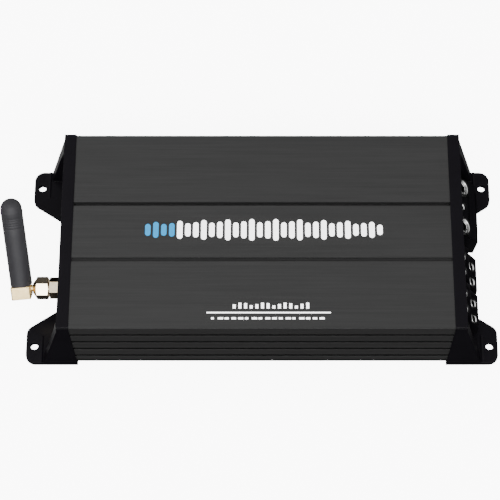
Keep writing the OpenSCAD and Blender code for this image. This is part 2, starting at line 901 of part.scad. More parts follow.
module speaker_contacts() {
    color(brass) for (start = speaker_y, c = [0, 1]) {
        speaker_contact(low_screw_x, terminal_y(start, c), low_screw_z, low_wire_z);
        speaker_contact(high_screw_x, terminal_y(start, c), high_screw_z, high_wire_z);
    }
}

module low_speaker_screw(start, column) {
    color(steel) on_slope(low_screw_x, terminal_y(start, column), low_screw_z, speaker_slope)
        socket_screw(speaker_screw_r, low_reach, speaker_head_r, speaker_head_t,
                     speaker_head_z, speaker_socket);
}

module high_speaker_screw(start, column) {
    color(steel) on_slope(high_screw_x, terminal_y(start, column), high_screw_z, speaker_slope)
        socket_screw(speaker_screw_r, high_reach, speaker_head_r, speaker_head_t,
                     speaker_head_z, speaker_socket);
}

module speaker_screw_1() { low_speaker_screw(speaker_y[0], 1); }
module speaker_screw_2() { low_speaker_screw(speaker_y[0], 0); }
module speaker_screw_3() { low_speaker_screw(speaker_y[1], 1); }
module speaker_screw_4() { low_speaker_screw(speaker_y[1], 0); }
module speaker_screw_5() { high_speaker_screw(speaker_y[0], 1); }
module speaker_screw_6() { high_speaker_screw(speaker_y[0], 0); }
module speaker_screw_7() { high_speaker_screw(speaker_y[1], 1); }
module speaker_screw_8() { high_speaker_screw(speaker_y[1], 0); }

module fuse_holder() {
    color(rubber_black) difference() {
        block([holder_x[0], fuse_y - holder_w / 2, board_top],
              [holder_x[1], fuse_y + holder_w / 2, fuse_z + 11.2]);
        block([fuse_x[0] - 0.4, fuse_y - fuse_w / 2 - 0.3, fuse_z - fuse_h / 2 - 0.3],
              [holder_x[1] + 1, fuse_y + fuse_w / 2 + 0.3, fuse_z + fuse_h / 2 + 0.3]);
        for (s = [-1, 1])
            block([blade_tip - 1, fuse_y - clip_y - clip_t / 2, fuse_z + s * blade_gap - clip_half],
                  [fuse_x[0], fuse_y + clip_y + clip_t / 2, fuse_z + s * blade_gap + clip_half]);
    }
}

module fuse_clips() {
    color(brass) for (s = [-1, 1], side = [-1, 1])
        translate([0, fuse_y + side * clip_y, fuse_z + s * blade_gap])
            block([blade_tip - 1, -clip_t / 2, -clip_half], [fuse_x[0] - 0.5, clip_t / 2, clip_half]);
}

module fuse_body() {
    grip = 1.2;
    color("yellowgreen") difference() {
        block([fuse_x[0], fuse_y - fuse_w / 2, fuse_z - fuse_h / 2],
              [fuse_x[1], fuse_y + fuse_w / 2, fuse_z + fuse_h / 2]);
        for (s = [-1, 1])
            translate([0, fuse_y + s * fuse_w / 2, 0])
                block([fuse_x[0] + 2, -grip, fuse_z - 5], [fuse_x[1] - 2.4, grip, fuse_z + 5]);
    }
}

module fuse_blades() {
    color(steel) for (s = [-1, 1])
        block([blade_tip, fuse_y - blade_t / 2, fuse_z + s * blade_gap - blade_w / 2],
              [fuse_x[0], fuse_y + blade_t / 2, fuse_z + s * blade_gap + blade_w / 2]);
}

// ---- electronics ----

module main_board() {
    color("darkgreen") difference() {
        block([board_x[0], -board_y, board_z], [board_x[1], board_y, board_top]);
        for (s = [-1, 1], x = standoff_x)
            translate([x, s * standoff_y, 0]) cylinder(r = clearance_r, h = far);
    }
}

module board_standoffs() {
    color(steel) for (s = [-1, 1], x = standoff_x)
        difference() {
            union() {
                translate([x, s * standoff_y, flange_z])
                    cylinder(r = standoff_r, h = board_z - flange_z);
                translate([x, s * standoff_y, plate_z])
                    cylinder(r = standoff_pin_r, h = plate_t + 0.1);
            }
            translate([x, s * standoff_y, plate_z + 0.6]) cylinder(r = thread_r, h = far);
        }
}

module board_screws() {
    color(steel) for (s = [-1, 1], x = standoff_x)
        translate([x, s * standoff_y, board_top]) 
            screw(thread_r - slip, board_screw_len, board_head_r, board_head_t);
}

module toroid_core() {
    color("dimgray") translate([toroid_x, 0, board_top + wire_t]) rotate_extrude()
        translate([toroid_r[0], 0]) square([toroid_r[1] - toroid_r[0], toroid_h]);
}

module toroid_winding() {
    color("peru") translate([toroid_x, 0, board_top + wire_t]) for (i = [0 : turns - 1])
        rotate([0, 0, i * 360 / turns]) difference() {
            block([toroid_r[0] - wire_t, -wire_t / 2, -wire_t],
                  [toroid_r[1] + wire_t, wire_t / 2, toroid_h + wire_t]);
            block([toroid_r[0] - slip, -wire_t, -slip], [toroid_r[1] + slip, wire_t, toroid_h + slip]);
        }
}

module large_capacitors() {
    color("midnightblue") for (x = large_cap_x, y = large_cap_y)
        translate([x, y, board_top]) cylinder(r = large_cap_r, h = large_cap_h);
}

module small_capacitors() {
    color("black") for (x = small_cap_x, y = small_cap_y)
        translate([x, y, board_top]) cylinder(r = small_cap_r, h = small_cap_h);
}

module power_transistors() {
    color([0.12, 0.12, 0.12]) front_and_rear() for (x = transistor_x)
        block([x - transistor_w / 2, cavity_y - pad_t - transistor_t, transistor_z[0]],
              [x + transistor_w / 2, cavity_y - pad_t, transistor_z[1]]);
}

module thermal_pads() {
    color("lightgray") front_and_rear() difference() {
        block([-bar_half, cavity_y - pad_t, transistor_z[0] - 1],
              [bar_half, cavity_y, transistor_z[1] + 1]);
        for (x = clamp_x) rod_out(x, cavity_y - 1, clamp_z, 1, clearance_r, 2);
    }
}

module transistor_clamps() {
    bar_y = cavity_y - pad_t - transistor_t;
    color("silver") front_and_rear() {
        difference() {
            block([-bar_half, bar_y - clamp_t, clamp_z - clamp_half],
                  [bar_half, bar_y, clamp_z + clamp_half]);
            for (x = clamp_x) rod_out(x, bar_y - clamp_t - 1, clamp_z, 1, clearance_r, clamp_t + 2);
        }
        for (x = clamp_x) translate([x, bar_y - clamp_t, clamp_z]) rotate([90, 0, 0])
            screw(thread_r - slip, clamp_screw_len, bottom_head_r, clamp_head_t);
    }
}

module output_inductors() {
    color("gray") for (y = inductor_y)
        translate([inductor_x, y, board_top]) difference() {
            cylinder(r = inductor_r, h = inductor_h);
            translate([0, 0, inductor_h / 5]) cylinder(r = inductor_bore_r, h = inductor_h);
        }
}

module wireless_module() {
    color("navy") {
        block([module_x[0], sma_y - module_half, module_z],
              [module_x[1], sma_y + module_half, module_z + module_t]);
        block([module_x[0] + 9, sma_y - shield_half, module_z + module_t],
              [module_x[1] - 2, sma_y + shield_half, module_z + module_t + shield_h]);
        for (x = [module_x[0] + 3, module_x[1] - 3], s = [-1, 1])
            block([x - 1, sma_y + s * shield_half - 1, board_top],
                  [x + 1, sma_y + s * shield_half + 1, module_z]);
    }
}

// A thin coaxial lead from the jack to the radio module
module antenna_pigtail() {
    r = 1.2;
    bend = 3;
    drop_x = module_x[0] + 4;
    color("black") {
        rod_x(-jack_tail - 3.8, drop_x - bend, sma_y, sma_z, r);
        translate([drop_x - bend, sma_y, sma_z - bend]) rotate([90, 0, 0])
            rotate_extrude(angle = 90) translate([bend, 0]) circle(r = r);
        translate([drop_x, sma_y, module_z + 1.2]) cylinder(r = r, h = sma_z - bend - module_z - 1.2);
    }
}

heatsink_housing();
bottom_plate();
input_end_cap();
output_end_cap();
end_cap_screws();
bottom_screws();
input_panel();
rca_insulators();
rca_shells();
rca_contacts();
high_level_socket();
high_level_pins();
potentiometers();
front_gain_knob();
rear_gain_knob();
crossover_knob();
bass_knob();
slide_switch_bodies();
mode_switch_lever();
input_switch_lever();
status_led();
sma_jack();
sma_lock_nut();
antenna_nut();
antenna_elbow();
antenna_sleeve();
power_terminal_block();
power_barrels();
remote_barrel();
battery_clamp_screw();
remote_clamp_screw();
ground_clamp_screw();
speaker_block_rear();
speaker_block_front();
speaker_contacts();
speaker_screw_1();
speaker_screw_2();
speaker_screw_3();
speaker_screw_4();
speaker_screw_5();
speaker_screw_6();
speaker_screw_7();
speaker_screw_8();
fuse_holder();
fuse_clips();
fuse_body();
fuse_blades();
main_board();
board_standoffs();
board_screws();
toroid_core();
toroid_winding();
large_capacitors();
small_capacitors();
power_transistors();
thermal_pads();
transistor_clamps();
output_inductors();
wireless_module();
antenna_pigtail();
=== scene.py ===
"""Looks for the car amplifier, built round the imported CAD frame.

Lengths are metres unless a name ends in _mm or _MM, and angles are radians unless it ends in _deg or _DEG.
"""

import json
import math
from collections import namedtuple

import bmesh
import bpy
from mathutils import Matrix, Vector


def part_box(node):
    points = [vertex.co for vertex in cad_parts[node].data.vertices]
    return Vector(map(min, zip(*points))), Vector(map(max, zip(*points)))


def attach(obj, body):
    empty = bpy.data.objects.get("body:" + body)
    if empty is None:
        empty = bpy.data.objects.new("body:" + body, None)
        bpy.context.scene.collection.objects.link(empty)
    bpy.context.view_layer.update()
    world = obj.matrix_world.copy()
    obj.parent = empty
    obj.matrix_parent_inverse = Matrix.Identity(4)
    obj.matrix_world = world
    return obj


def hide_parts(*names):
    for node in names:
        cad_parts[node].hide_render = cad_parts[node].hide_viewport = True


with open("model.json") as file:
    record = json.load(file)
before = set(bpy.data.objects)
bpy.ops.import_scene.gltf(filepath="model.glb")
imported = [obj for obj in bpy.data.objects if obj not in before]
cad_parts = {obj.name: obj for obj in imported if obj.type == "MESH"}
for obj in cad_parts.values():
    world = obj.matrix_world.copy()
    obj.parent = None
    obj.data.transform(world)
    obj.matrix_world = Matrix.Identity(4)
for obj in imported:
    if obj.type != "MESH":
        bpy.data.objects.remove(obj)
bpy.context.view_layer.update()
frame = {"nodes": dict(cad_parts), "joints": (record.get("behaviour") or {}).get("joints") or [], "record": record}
NODES = frame["nodes"]
JOINTS = {joint["name"]: joint for joint in frame["joints"]}
MM = 0.001


# ---------------------------------------------------------------- camera and light

TARGET = Vector((0, 0, 0))
CAMERA_ELEVATION = math.radians(62.6)
CAMERA_DISTANCE = 1.3373
CAMERA_LENS = 156.6
CAMERA_SHIFT = (-0.0238, 0.036)
SENSOR_WIDTH = 36
KEY_PLACE, KEY_SIZE, KEY_WATTS = (-0.45, 0.3, 1.65), (1.2, 1.2), 6

# Each band of the sky: its strength, then its ramps, each an axis and the places where it begins and is full
SKY_BANDS = (
    # The whole upper sky
    (0.22, ("Z", -0.1, 0.7)),
    # Low bands at both ends, for the caps and what they hold
    (1.2, ("X", 0.25, 0.8), ("Z", 0.02, 0.4)),
    (1.2, ("X", -0.25, -0.8), ("Z", 0.02, 0.4)),
    # High in front, for faces turned to the camera, with a bright strip for the flats of the antenna's nuts
    (2.0, ("Y", -0.1, -0.42), ("Z", 0.5, 0.8)),
    (9.0, ("Y", -0.42, -0.6), ("Z", 0.5, 0.68)),
    # Lower in front, for the antenna's elbow
    (3.0, ("Y", -0.7, -0.85), ("Z", 0.25, 0.42)),
    # From below: one behind, for the upright sides of the caps, and a faint one in front, for the ribs
    (1.0, ("Y", 0.1, 0.42), ("Z", -0.5, -0.8), ("X", 0.9, -0.4)),
    (0.1, ("Y", -0.1, -0.42), ("Z", -0.3, -0.8)),
)


def make_camera():
    data = bpy.data.cameras.new("camera")
    data.lens = CAMERA_LENS
    data.sensor_width = SENSOR_WIDTH
    data.shift_x, data.shift_y = CAMERA_SHIFT
    data.clip_start = 0.05
    camera = bpy.data.objects.new("camera", data)
    back = Vector((0, -math.cos(CAMERA_ELEVATION), math.sin(CAMERA_ELEVATION)))
    camera.location = TARGET + back * CAMERA_DISTANCE
    camera.rotation_euler = (math.pi / 2 - CAMERA_ELEVATION, 0, 0)
    bpy.context.scene.collection.objects.link(camera)
    bpy.context.scene.camera = camera


def make_key_light():
    data = bpy.data.lights.new("key", "AREA")
    data.shape = "RECTANGLE"
    data.size, data.size_y = KEY_SIZE
    data.energy = KEY_WATTS
    light = bpy.data.objects.new("key", data)
    light.location = KEY_PLACE
    light.rotation_euler = (TARGET - Vector(KEY_PLACE)).to_track_quat("-Z", "Y").to_euler()
    bpy.context.scene.collection.objects.link(light)


class WorldSum:
    """Adds soft bands of light to the sky, each a product of ramps along the sky's axes."""

    def __init__(self):
        self.world = bpy.data.worlds.new("studio")
        self.world.use_nodes = True
        self.tree = self.world.node_tree
        coords = self.tree.nodes.new("ShaderNodeTexCoord")
        self.axes = self.tree.nodes.new("ShaderNodeSeparateXYZ")
        self.tree.links.new(coords.outputs["Generated"], self.axes.inputs["Vector"])
        self.total = None

    def math(self, operation, first, second):
        node = self.tree.nodes.new("ShaderNodeMath")
        node.operation = operation
        for socket, value in zip(node.inputs, (first, second)):
            if isinstance(value, (int, float)):
                socket.default_value = value
            else:
                self.tree.links.new(value, socket)
        return node.outputs["Value"]

    def ramp(self, axis, start, stop):
        node = self.tree.nodes.new("ShaderNodeMapRange")
        node.interpolation_type = "SMOOTHSTEP"
        node.inputs["From Min"].default_value = start
        node.inputs["From Max"].default_value = stop
        self.tree.links.new(self.axes.outputs[axis], node.inputs["Value"])
        return node.outputs["Result"]

    def band(self, strength, *ramps):
        value = strength
        for axis, start, stop in ramps:
            value = self.math("MULTIPLY", self.ramp(axis, start, stop), value)
        self.total = value if self.total is None else self.math("ADD", self.total, value)

    def finish(self):
        background = self.tree.nodes["Background"]
        background.inputs["Color"].default_value = (1, 1, 1, 1)
        self.tree.links.new(self.total, background.inputs["Strength"])
        bpy.context.scene.world = self.world


def make_lights():
    make_key_light()
    sky = WorldSum()
    for strength, *ramps in SKY_BANDS:
        sky.band(strength, *ramps)
    sky.finish()


# ---------------------------------------------------------------- materials


class Graph:
    """A material's node tree, with short calls for the nodes that the finishes share."""

    def __init__(self, name):
        self.material = bpy.data.materials.new(name)
        self.material.use_nodes = True
        self.tree = self.material.node_tree
        self.shader = self.tree.nodes["Principled BSDF"]

    def link(self, output, target):
        self.tree.links.new(output, target)

    def set(self, **values):
        for name, value in values.items():
            self.shader.inputs[name.replace("_", " ")].default_value = value

    def place(self, scale=(1, 1, 1)):
        coords = self.tree.nodes.new("ShaderNodeTexCoord")
        mapping = self.tree.nodes.new("ShaderNodeMapping")
        mapping.inputs["Scale"].default_value = scale
        self.link(coords.outputs["Object"], mapping.inputs["Vector"])
        return mapping.outputs["Vector"]

    def axis(self, name):
        node = self.tree.nodes.new("ShaderNodeSeparateXYZ")
        self.link(self.place(), node.inputs["Vector"])
        return node.outputs[name]

    def noise(self, scale, stretch=(1, 1, 1), detail=3.0, roughness=0.55):
        node = self.tree.nodes.new("ShaderNodeTexNoise")
        node.inputs["Scale"].default_value = scale
        node.inputs["Detail"].default_value = detail
        node.inputs["Roughness"].default_value = roughness
        self.link(self.place(stretch), node.inputs["Vector"])
        return node.outputs["Fac"]

    def math(self, operation, first, second=None):
        node = self.tree.nodes.new("ShaderNodeMath")
        node.operation = operation
        self.link(first, node.inputs[0])
        if second is not None:
            self.link(second, node.inputs[1])
        return node.outputs["Value"]

    def spread(self, value, low, high, start=0.25, stop=0.75):
        node = self.tree.nodes.new("ShaderNodeMapRange")
        node.inputs["From Min"].default_value = start
        node.inputs["From Max"].default_value = stop
        node.inputs["To Min"].default_value = low
        node.inputs["To Max"].default_value = high
        self.link(value, node.inputs["Value"])
        return node.outputs["Result"]

    def blend(self, factor, first, second):
        """Mixes two colours, each a tuple or another node's output."""
        node = self.tree.nodes.new("ShaderNodeMix")
        node.data_type = "RGBA"
        for socket, value in (("A", first), ("B", second)):
            if isinstance(value, tuple):
                node.inputs[socket].default_value = (*value, 1)
            else:
                self.link(value, node.inputs[socket])
        self.link(factor, node.inputs["Factor"])
        return node.outputs["Result"]

    def colour(self, output):
        self.link(output, self.shader.inputs["Base Color"])

    def rough(self, output):
        self.link(output, self.shader.inputs["Roughness"])

    def bump(self, height, depth_mm, strength=1.0):
        node = self.tree.nodes.new("ShaderNodeBump")
        node.inputs["Strength"].default_value = strength
        node.inputs["Distance"].default_value = depth_mm * MM
        self.link(height, node.inputs["Height"])
        self.link(node.outputs["Normal"], self.shader.inputs["Normal"])


def grey(value):
    return (value, value, value)


# Painted shade on the body, in its grooves, along its lowest edge and along its front top edge: the distances
# from a face of its box between which each painted shade changes, and how strong it is
SIDE_GROOVE_MM, TOP_GROOVE_MM = (-0.25, -0.1), (-0.3, -0.1)
TOP_ZONE_MM, TOP_ZONE_SHADE = (-6, -4), 0.5
FOOT_MM, FOOT_SHADE = (2.0, 3.6), 0.95
CREST_DEPTH_MM, CREST_DROP_MM, CREST_SHADE = (0.25, 0.6), (-0.7, -0.45), 0.55


def painted_shade_mask(g):
    """How much shade is painted on the body: full in its side grooves, less in those on top, along its front top
    edge and along its lowest edge.
    """
    low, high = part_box("heatsink_housing")

    def fade(value, face, steps_mm, first, last):
        start, stop = steps_mm
        return g.spread(value, first, last, face + start * MM, face + stop * MM)

    behind = fade(g.math("ABSOLUTE", g.axis("Y")), high.y, SIDE_GROOVE_MM, 1, 0)
    below = fade(g.axis("Z"), high.z, TOP_GROOVE_MM, 1, 0)
    upper = fade(g.axis("Z"), high.z, TOP_ZONE_MM, 1, TOP_ZONE_SHADE)
    grooves = g.math("MULTIPLY", g.math("MINIMUM", behind, below), upper)
    foot = fade(g.axis("Z"), low.z, FOOT_MM, FOOT_SHADE, 0)
    front = fade(g.axis("Y"), low.y, CREST_DEPTH_MM, CREST_SHADE, 0)
    crest = fade(g.axis("Z"), high.z, CREST_DROP_MM, 0, 1)
    edges = g.math("MAXIMUM", g.math("MINIMUM", front, crest), foot)
    return g.math("MAXIMUM", grooves, edges)


def brushed_anodised():
    g = Graph("brushed_anodised")
    streaks = g.noise(900, (0.02, 1, 1), 4, 0.65)
    clouds = g.noise(14, detail=2)
    tone = g.blend(g.spread(streaks, 0, 1), grey(0.032), grey(0.044))
    tone = g.blend(g.spread(clouds, 0, 0.35), tone, grey(0.032))
    # Painted shade: the body is darker, less metallic and less shiny in its grooves and along those edges
    shade = painted_shade_mask(g)
    g.colour(g.blend(shade, tone, grey(0.004)))
    g.link(g.spread(shade, 0.5, 0.0, 0, 1), g.shader.inputs["Metallic"])
    g.link(g.spread(shade, 0.3, 0.05, 0, 1), g.shader.inputs["Specular IOR Level"])
    g.rough(g.spread(streaks, 0.42, 0.54))
    g.bump(streaks, 0.02, 0.3)
    return g.material


def moulded_plastic(name, dark, light, rough, grain, depth_mm, gloss=0.45):
    g = Graph(name)
    g.set(Specular_IOR_Level=gloss)
    fine = g.noise(grain, detail=2)
    broad = g.noise(60, detail=2)
    g.colour(g.blend(g.spread(broad, 0, 1), dark, light))
    g.rough(g.spread(fine, rough - 0.05, rough + 0.07))
    g.bump(fine, depth_mm, 0.6)
    return g.material


def plated_metal(name, dark, light, rough, streak=(1, 1, 1)):
    g = Graph(name)
    g.set(Metallic=1.0)
    fine = g.noise(700, streak, 3)
    stain = g.noise(120, detail=3)
    g.colour(g.blend(g.spread(stain, 0, 1), dark, light))
    g.rough(g.spread(fine, rough * 0.7, rough * 1.3))
    g.bump(fine, 0.01, 0.3)
    return g.material


def moulded_rubber():
    g = Graph("moulded_rubber")
    g.set(Sheen_Weight=0.1, Specular_IOR_Level=0.3)
    fine = g.noise(2400, detail=2)
    broad = g.noise(90, detail=3)
    g.colour(g.blend(g.spread(broad, 0, 1), (0.0175, 0.017, 0.0198), (0.0225, 0.0218, 0.0252)))
    g.rough(g.spread(fine, 0.5, 0.66))
    g.bump(fine, 0.03, 0.6)
    return g.material


def split_by_y(name, low_colour, high_colour, edge, softness=0.1 * MM):
    """Glossy plastic in two colours, one each side of a plane across Y."""
    g = Graph(name)
    side = g.spread(g.axis("Y"), 0, 1, edge - softness, edge + softness)
    tint = g.blend(side, low_colour, high_colour)
    mottle = g.noise(200, detail=2)
    g.colour(g.blend(g.spread(mottle, 0, 0.12), tint, grey(0.1)))
    g.rough(g.spread(g.noise(1500), 0.28, 0.4))
    return g.material


def clear_plastic(name, dark, light, glow=None):
    g = Graph(name)
    g.set(Transmission_Weight=0.55, IOR=1.49)
    broad = g.noise(300, detail=2)
    g.colour(g.blend(g.spread(broad, 0, 1), dark, light))
    g.rough(g.spread(broad, 0.08, 0.18))
    if glow:
        g.set(Emission_Color=(*glow, 1), Emission_Strength=0.6)
    return g.material


def printed_board():
    g = Graph("printed_board")
    tracks = g.noise(160, (1, 3, 1), 1)
    g.colour(g.blend(g.spread(tracks, 0, 1, 0.48, 0.52), (0.008, 0.06, 0.025), (0.015, 0.1, 0.04)))
    g.rough(g.spread(tracks, 0.3, 0.4))
    g.bump(tracks, 0.03, 0.4)
    return g.material


def floor_paper():
    g = Graph("floor_paper")
    fibre = g.noise(40, detail=4)
    g.colour(g.blend(g.spread(fibre, 0, 1), grey(0.93), grey(0.96)))
    g.rough(g.spread(fibre, 0.8, 0.9))
    g.set(Emission_Color=(1, 1, 1, 1), Emission_Strength=FLOOR_GLOW, Specular_IOR_Level=0.0)
    return g.material


def print_ink(name, dark, light, glow, strength):
    g = Graph(name)
    grain = g.noise(900, detail=2)
    g.colour(g.blend(g.spread(grain, 0, 1), dark, light))
    g.rough(g.spread(grain, 0.45, 0.6))
    # The ink glows with its own light: painted light that keeps the print bright
    g.set(Emission_Color=(*glow, 1), Emission_Strength=strength)
    return g.material


def middle_y(node):
    """The middle of a node's box across Y."""
    low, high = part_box(node)
    return (low.y + high.y) / 2


FLOOR_GLOW = 8.0
# How strongly the white and blue print glow: painted light
INK_GLOW, BLUE_GLOW = 2.4, 0.5
CAP_DARK, CAP_LIGHT = (0.003, 0.0025, 0.0037), (0.004, 0.0034, 0.005)
BLOCK_DARK, BLOCK_LIGHT = (0.003, 0.0027, 0.0036), (0.0042, 0.0037, 0.0048)
SLEEVE_DARK, SLEEVE_LIGHT = (0.01, 0.01, 0.03), (0.02, 0.02, 0.06)
PAD_DARK, PAD_LIGHT = (0.35, 0.36, 0.38), (0.42, 0.43, 0.45)
JACK_WHITE, JACK_RED = (0.75, 0.75, 0.72), (0.45, 0.02, 0.02)
STEEL_DARK, STEEL_LIGHT = (0.42, 0.43, 0.44), (0.56, 0.57, 0.58)
FINISHES = {
    "body_aluminium": brushed_anodised(),
    "cap_plastic": moulded_plastic("cap_plastic", CAP_DARK, CAP_LIGHT, 0.42, 2600, 0.03, 0.1),
    "terminal_plastic": moulded_plastic("terminal_plastic", BLOCK_DARK, BLOCK_LIGHT, 0.33, 1800, 0.012,
                                        gloss=0.14),
    "knob_plastic": moulded_plastic("knob_plastic", grey(0.012), grey(0.02), 0.4, 2200, 0.02),
    "panel_steel": moulded_plastic("panel_coat", grey(0.012), grey(0.018), 0.5, 1600, 0.03),
    "socket_nylon": moulded_plastic("socket_nylon", (0.62, 0.6, 0.5), (0.7, 0.68, 0.58), 0.4, 1600, 0.01),
    "capacitor_sleeve": moulded_plastic("capacitor_sleeve", SLEEVE_DARK, SLEEVE_LIGHT, 0.25, 900, 0.01),
    "thermal_silicone": moulded_plastic("thermal_silicone", PAD_DARK, PAD_LIGHT, 0.7, 900, 0.02),
    "ferrite": moulded_plastic("ferrite", grey(0.03), grey(0.05), 0.6, 1200, 0.02),
    "jack_plastic": split_by_y("jack_plastic", JACK_WHITE, JACK_RED, middle_y("rca_insulators")),
    "gold_plate": plated_metal("gold_plate", (0.8, 0.64, 0.42), (0.95, 0.82, 0.62), 0.2),
    "screw_nickel": plated_metal("screw_nickel", grey(0.6), grey(0.8), 0.2),
    "tinned_metal": plated_metal("tinned_metal", grey(0.5), (0.68, 0.67, 0.65), 0.3),
    "plated_steel": plated_metal("plated_steel", STEEL_DARK, STEEL_LIGHT, 0.34, (0.05, 1, 1)),
    "part_metal": plated_metal("part_metal", grey(0.4), grey(0.55), 0.3),
    "black_steel": plated_metal("black_steel", grey(0.02), grey(0.04), 0.32),
    "copper_wire": plated_metal("copper_wire", (0.45, 0.16, 0.06), (0.62, 0.25, 0.1), 0.25),
    "antenna_rubber": moulded_rubber(),
    "fuse_plastic": clear_plastic("fuse_plastic", (0.12, 0.5, 0.06), (0.18, 0.62, 0.1)),
    "led_lens": clear_plastic("led_lens", (0.1, 0.3, 0.8), (0.16, 0.4, 0.95), (0.1, 0.3, 1.0)),
    "board_laminate": printed_board(),
}
INK = print_ink("print_ink", grey(0.86), grey(0.95), (1, 1, 1), INK_GLOW)
BLUE_INK = print_ink("blue_ink", (0.0, 0.16, 0.4), (0.0, 0.2, 0.46), (0.0, 0.52, 1.0), BLUE_GLOW)
# A near-black sheet for the shade deep in the screws' sockets: painted shade
SOCKET_SHADE = moulded_plastic("socket_shade", grey(0.001), grey(0.002), 0.6, 1500, 0.01, 0.05)
SATIN_BRASS = plated_metal("satin_brass", (0.92, 0.7, 0.34), (1.0, 0.79, 0.42), 0.5)

# Each node's material slot
SLOTS = {entry["node"]: entry["material_slot"] for entry in frame["record"]["subparts"]}

# How far each node's sharp edges are rounded, and how sharp an edge has to be
EDGE_ANGLE_DEG = 35
EDGE_MM = {
    "heatsink_housing": 0.08, "input_end_cap": 0.3, "output_end_cap": 0.3, "bottom_plate": 0.2,
    "power_terminal_block": 0.4, "speaker_block_rear": 0.35, "speaker_block_front": 0.35,
    "power_barrels": 0.2, "remote_barrel": 0.15, "speaker_contacts": 0.15, "input_panel": 0.15,
    "high_level_socket": 0.15, "fuse_body": 0.25, "fuse_holder": 0.2, "rca_shells": 0.12,
    "front_gain_knob": 0.12, "rear_gain_knob": 0.12, "crossover_knob": 0.12, "bass_knob": 0.12,
    "antenna_elbow": 0.35, "mode_switch_lever": 0.12, "input_switch_lever": 0.12,
    "slide_switch_bodies": 0.12,
}


def finish_node(node):
    """Gives a CAD node its finish and rounds its sharp edges, without changing its mesh."""
    obj = NODES[node]
    material = FINISHES[SLOTS[node]]
    if not obj.data.materials:
        obj.data.materials.append(material)
    for slot in obj.material_slots:
        slot.material = material
    if node in EDGE_MM:
        weld = obj.modifiers.new("weld", "WELD")
        weld.merge_threshold = 1e-6
        bevel = obj.modifiers.new("bevel", "BEVEL")
        bevel.width = EDGE_MM[node] * MM
        bevel.segments = 2
        bevel.limit_method = "ANGLE"
        bevel.angle_limit = math.radians(EDGE_ANGLE_DEG)
        bevel.use_clamp_overlap = False
        obj.modifiers.new("normals", "WEIGHTED_NORMAL")


# ---------------------------------------------------------------- mesh helpers


def add_piece(name, bm, slot, body="casing", place=None, material=None, sharp_deg=32):
    """Turns a bmesh into a finished piece that rides on a body."""
    bmesh.ops.recalc_face_normals(bm, faces=bm.faces)
    mesh = bpy.data.meshes.new(name)
    bm.to_mesh(mesh)
    bm.free()
    if place is not None:
        mesh.transform(place)
    mesh.shade_smooth()
    mesh.set_sharp_from_angle(angle=math.radians(sharp_deg))
    obj = bpy.data.objects.new(name, mesh)
    bpy.context.scene.collection.objects.link(obj)
    obj.data.materials.append(material or FINISHES[slot])
    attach(obj, body)
    return obj


def on_joint(joint):
    """A frame at a joint, with its Z along the joint's axis."""
    axis = Vector(joint["axis"])
    turn = axis.to_track_quat("Z", "Y").to_matrix().to_4x4()
    return Matrix.Translation(joint["pos_m"]) @ turn


def hexagon(across_flats):
    """The radius of a hexagon at an angle, with a corner at angle 0."""
    return lambda angle: across_flats / 2 / math.cos(angle % (math.pi / 3) - math.pi / 6)


def trimmed(shape, limit):
    """A shape's radius, held under a limit, for chamfered corners."""
    return lambda angle: min(shape(angle), limit)


def ring_point(radius, height, i, steps):
    """Point i of a ring, in metres, for sizes in millimetres; a radius may be a function of the angle."""
    angle = 2 * math.pi * i / steps
    r = radius(angle) if callable(radius) else radius
    return (r * math.cos(angle) * MM, r * math.sin(angle) * MM, height * MM)


def bridge(bm, low, high):
    """Faces between two loops of the same number of vertices."""
    for i in range(len(low)):
        j = (i + 1) % len(low)
        bm.faces.new((low[i], low[j], high[j], high[i]))


def turned(rings, steps=72):
    """A closed body through rings of (radius, height) in millimetres."""
    bm = bmesh.new()
    loops = [[bm.verts.new(ring_point(radius, height, i, steps)) for i in range(steps)]
             for radius, height in rings]
    for low, high in zip(loops, loops[1:]):
        bridge(bm, low, high)
    bm.faces.new(loops[0][::-1])
    bm.faces.new(loops[-1])
    return bm


def arc(centre, radius, start_deg, stop_deg, count):
    """Points (radius, height) along an arc of a section."""
    angles = [math.radians(start_deg + (stop_deg - start_deg) * i / count) for i in range(count + 1)]
    return [(centre[0] + radius * math.cos(a), centre[1] + radius * math.sin(a)) for a in angles]


def slab(bm, outline, low, high):
    """Adds a thin plate of a flat outline of (x, y) points in metres."""
    lower = [bm.verts.new((x, y, low)) for x, y in outline]
    upper = [bm.verts.new((x, y, high)) for x, y in outline]
    bm.faces.new(lower[::-1])
    bm.faces.new(upper)
    bridge(bm, lower, upper)


def bar_outline(x, y, width, length, turns=8):
    """An upright bar with round ends, centred at (x, y)."""
    r = width / 2
    reach = max(length / 2 - r, 0)
    points = []
    for end, start in ((1, 0), (-1, 180)):
        for i in range(turns + 1):
            a = math.radians(start + 180 * i / turns)
            points.append((x + r * math.cos(a), y + end * reach + r * math.sin(a)))
    return points


def box_outline(x0, x1, y0, y1):
    return [(x0, y0), (x1, y0), (x1, y1), (x0, y1)]


# ---------------------------------------------------------------- pieces


FLOOR_R, FLOOR_BEND_R, WALL_H = 4.0, 1.2, 3.0
FLOOR_DROP = 0.2 * MM
FLOOR_STEPS, BEND_STEPS = 96, 12


